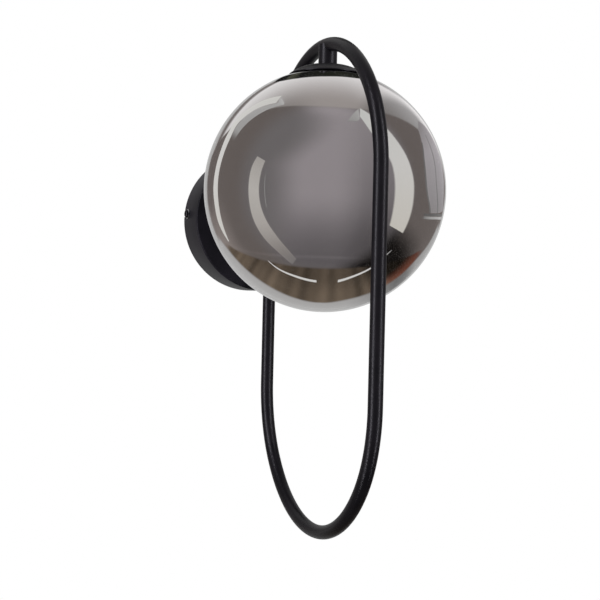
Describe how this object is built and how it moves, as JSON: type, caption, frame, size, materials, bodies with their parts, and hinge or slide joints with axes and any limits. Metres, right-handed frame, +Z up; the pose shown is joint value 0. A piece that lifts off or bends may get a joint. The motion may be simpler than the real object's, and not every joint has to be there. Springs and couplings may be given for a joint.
{
  "type": "globe wall sconce",
  "caption": "Wall sconce with a smoked glass globe hung from the top of an upright oval tube that stands out from a round black canopy.",
  "frame": {"origin": "middle of the canopy on the wall plane, which is the middle of the two wall slots", "axes": "wall plane at Y = 0, the lamp stands out along -Y, +Z up, +X to the right seen from the front"},
  "size_m": [0.2, 0.3107, 0.4164],
  "materials": {
    "black_powder_coat": "satin black powder coat on steel",
    "zinc_plated_steel": "bright zinc plate",
    "brass": "plain brass",
    "tinned_copper": "tin plate",
    "smoked_glass": "smoked glass with a half-mirrored coat",
    "silicone": "black silicone",
    "ceramic": "unglazed steatite",
    "white_plastic": "moulded, natural white",
    "black_plastic": "moulded nylon",
    "clear_plastic": "clear moulded cover",
    "white_board": "white solder mask",
    "phosphor": "yellow phosphor",
    "lead_sheath": "soft sheath",
    "brown_insulation": "silicone insulation",
    "blue_insulation": "silicone insulation",
    "earth_insulation": "green and yellow insulation"
  },
  "bodies": {
    "bracket": {"wall_bracket": "zinc_plated_steel", "bracket_earth_screw": "brass", "bracket_earth_washer": "zinc_plated_steel"},
    "lamp": {"canopy": "black_powder_coat", "oval_frame": "black_powder_coat", "arm_boss": "black_powder_coat", "stem": "black_powder_coat", "arm_nipple": "zinc_plated_steel", "arm_bush": "black_plastic", "canopy_strap": "zinc_plated_steel", "arm_lock_washer": "zinc_plated_steel", "arm_nut": "zinc_plated_steel", "terminal_block": "white_plastic", "terminal_sleeves": "brass", "terminal_screws": "zinc_plated_steel", "terminal_fixing_screw": "zinc_plated_steel", "earth_lug": "tinned_copper", "earth_screw": "brass", "cap": "black_powder_coat", "stem_nipple": "zinc_plated_steel", "cap_lock_washer": "zinc_plated_steel", "cap_nut": "zinc_plated_steel", "neck_collar": "zinc_plated_steel", "holder_nut": "zinc_plated_steel", "lampholder": "ceramic", "holder_strap": "zinc_plated_steel", "holder_screws": "zinc_plated_steel", "socket_contacts": "tinned_copper", "inner_lead": "lead_sheath", "live_wires": "brown_insulation", "neutral_wires": "blue_insulation", "earth_wire": "earth_insulation"},
    "left_washer": {"side_washer_left": "zinc_plated_steel"},
    "left_screw": {"side_screw_left": "black_powder_coat"},
    "right_washer": {"side_washer_right": "zinc_plated_steel"},
    "right_screw": {"side_screw_right": "black_powder_coat"},
    "neck_seal": {"neck_seal": "silicone"},
    "globe": {"globe": "smoked_glass"},
    "bulb": {"lamp_pins": "tinned_copper", "lamp_base": "white_plastic", "lamp_cover": "clear_plastic", "led_board": "white_board", "led_chips": "phosphor"}
  },
  "joints": [
    {"name": "left_screw_out", "type": "slide", "parent": "bracket", "child": "left_washer", "axis": [-1, 0, 0], "range_m": [0, 0.0028]},
    {"name": "left_screw_turn", "type": "hinge", "parent": "left_washer", "child": "left_screw", "pos_m": [-0.068, -0.0142, 0.0048], "axis": [-1, 0, 0], "range_deg": [0, 1440]},
    {"name": "right_screw_out", "type": "slide", "parent": "bracket", "child": "right_washer", "axis": [1, 0, 0], "range_m": [0, 0.0028]},
    {"name": "right_screw_turn", "type": "hinge", "parent": "right_washer", "child": "right_screw", "pos_m": [0.068, -0.0142, 0.0048], "axis": [1, 0, 0], "range_deg": [0, 1440]},
    {"name": "lamp_off_wall", "type": "slide", "parent": "bracket", "child": "lamp", "axis": [0, -1, 0], "range_m": [0, 0.06]},
    {"name": "globe_drop", "type": "slide", "parent": "lamp", "child": "neck_seal", "axis": [0, 0, -1], "range_m": [0, 0.008]},
    {"name": "globe_turn", "type": "hinge", "parent": "neck_seal", "child": "globe", "pos_m": [0, -0.195, 0.108], "axis": [0, 0, -1], "range_deg": [0, 720]},
    {"name": "bulb_pull", "type": "slide", "parent": "lamp", "child": "bulb", "axis": [0, 0, -1], "range_m": [0, 0.02]}
  ],
  "couplings": [
    {"joint": "left_screw_turn", "follows": "left_screw_out", "rad_per_m": 8976},
    {"joint": "right_screw_turn", "follows": "right_screw_out", "rad_per_m": 8976},
    {"joint": "globe_drop", "follows": "globe_turn", "m_per_rad": 0.00063662}
  ]
}
